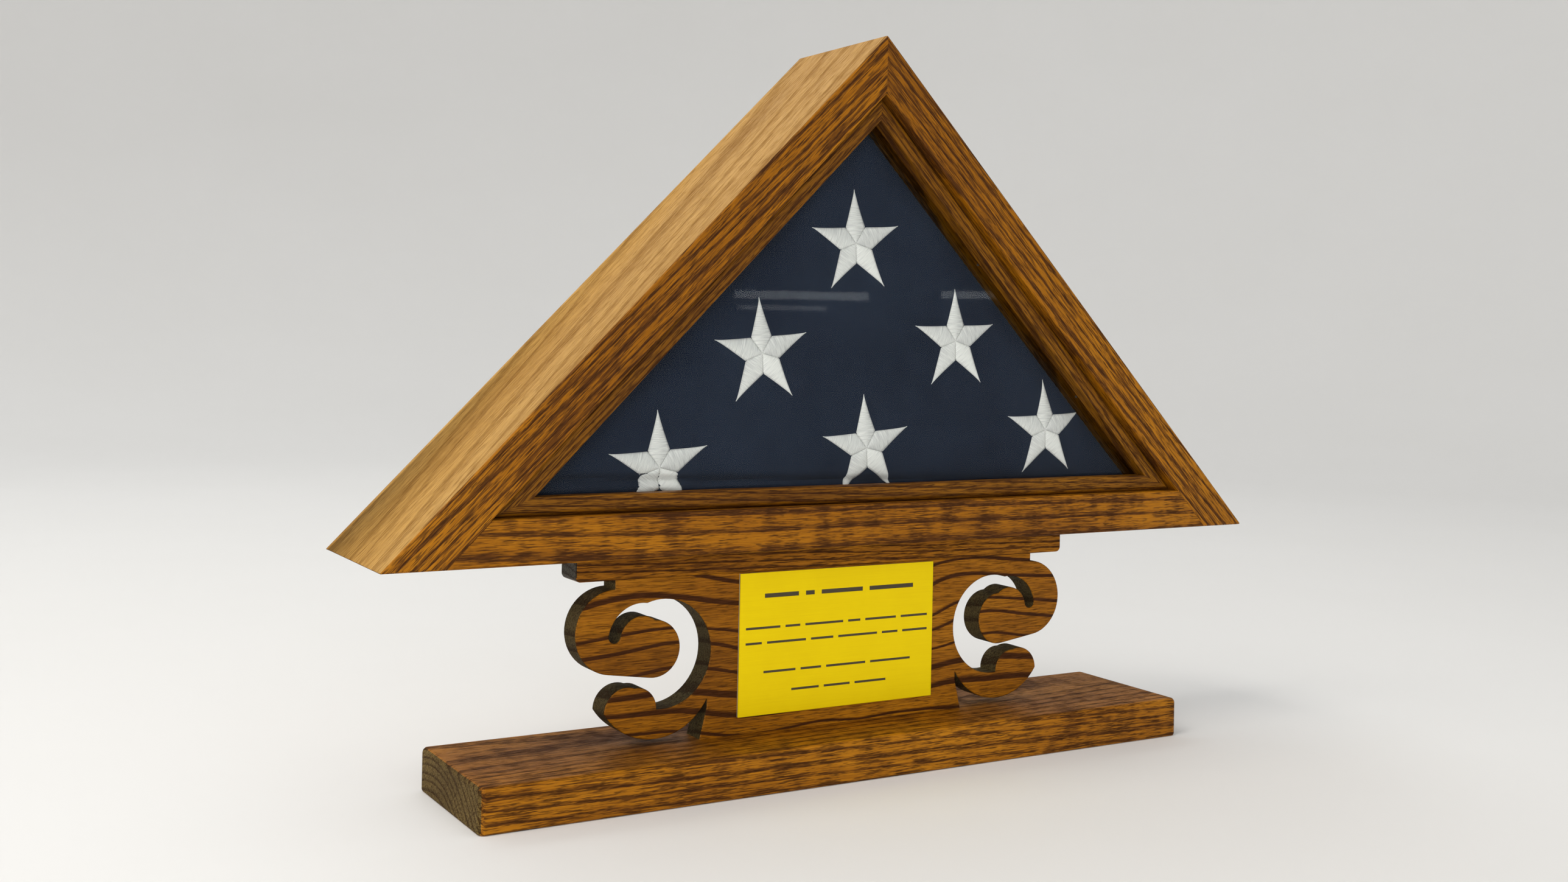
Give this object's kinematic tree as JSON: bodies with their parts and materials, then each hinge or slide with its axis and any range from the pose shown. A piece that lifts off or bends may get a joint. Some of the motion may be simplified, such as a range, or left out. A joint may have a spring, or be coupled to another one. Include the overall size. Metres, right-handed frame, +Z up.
{
  "type": "flag display case",
  "caption": "Triangular stained-oak case with a folded flag behind glass, on a scroll-cut pedestal with a blank brass name plate; the back panel lifts off when its turn buttons are swung clear.",
  "frame": {"origin": "middle of the bounding box, at the underside of the base board", "axes": "+X along the width of the case, +Y towards the back panel, +Z up; the glass faces -Y"},
  "size_m": [0.462, 0.08, 0.337],
  "materials": {
    "oak": "stained, satin varnish, open grain",
    "oak_trim": "stained, satin varnish",
    "clear_glass": "clear, polished",
    "flag_cloth": "woven cloth with embroidered white stars",
    "plywood": "thin plywood, clear sealed",
    "button_brass": "stamped, lightly tumbled",
    "plate_brass": "horizontally brushed, lacquered",
    "zinc_steel": "bright zinc plated",
    "adhesive": "double-sided adhesive sheet"
  },
  "bodies": {
    "case": {"side_board_left": "oak", "side_board_right": "oak", "side_board_bottom": "oak", "bead_left": "oak_trim", "bead_right": "oak_trim", "bead_bottom": "oak_trim", "glass_pane": "clear_glass", "glass_stop_left": "oak_trim", "glass_stop_right": "oak_trim", "glass_stop_bottom": "oak_trim", "glass_stop_brads": "zinc_steel", "folded_flag": "flag_cloth", "turn_button_screws": "zinc_steel", "pedestal_cap": "oak", "scroll_board": "oak", "base_board": "oak", "name_plate": "plate_brass", "plate_adhesive": "adhesive", "case_screws": "zinc_steel", "base_screws": "zinc_steel"},
    "back_panel": {"back_panel": "plywood"},
    "turn_button_left": {"turn_button_left": "button_brass"},
    "turn_button_right": {"turn_button_right": "button_brass"},
    "turn_button_bottom_left": {"turn_button_bottom_left": "button_brass"},
    "turn_button_bottom_right": {"turn_button_bottom_right": "button_brass"}
  },
  "joints": [
    {"name": "back_panel_off", "type": "slide", "parent": "case", "child": "back_panel", "axis": [0, 1, 0], "range_m": [0, 0.08]},
    {"name": "turn_button_left_swivel", "type": "hinge", "parent": "case", "child": "turn_button_left", "pos_m": [-0.11161, 0.0369, 0.21761], "axis": [0, -1, 0], "continuous": true},
    {"name": "turn_button_right_swivel", "type": "hinge", "parent": "case", "child": "turn_button_right", "pos_m": [0.11161, 0.0369, 0.21761], "axis": [0, 1, 0], "continuous": true},
    {"name": "turn_button_bottom_left_swivel", "type": "hinge", "parent": "case", "child": "turn_button_bottom_left", "pos_m": [-0.105, 0.0369, 0.1115], "axis": [0, -1, 0], "continuous": true},
    {"name": "turn_button_bottom_right_swivel", "type": "hinge", "parent": "case", "child": "turn_button_bottom_right", "pos_m": [0.105, 0.0369, 0.1115], "axis": [0, 1, 0], "continuous": true}
  ]
}
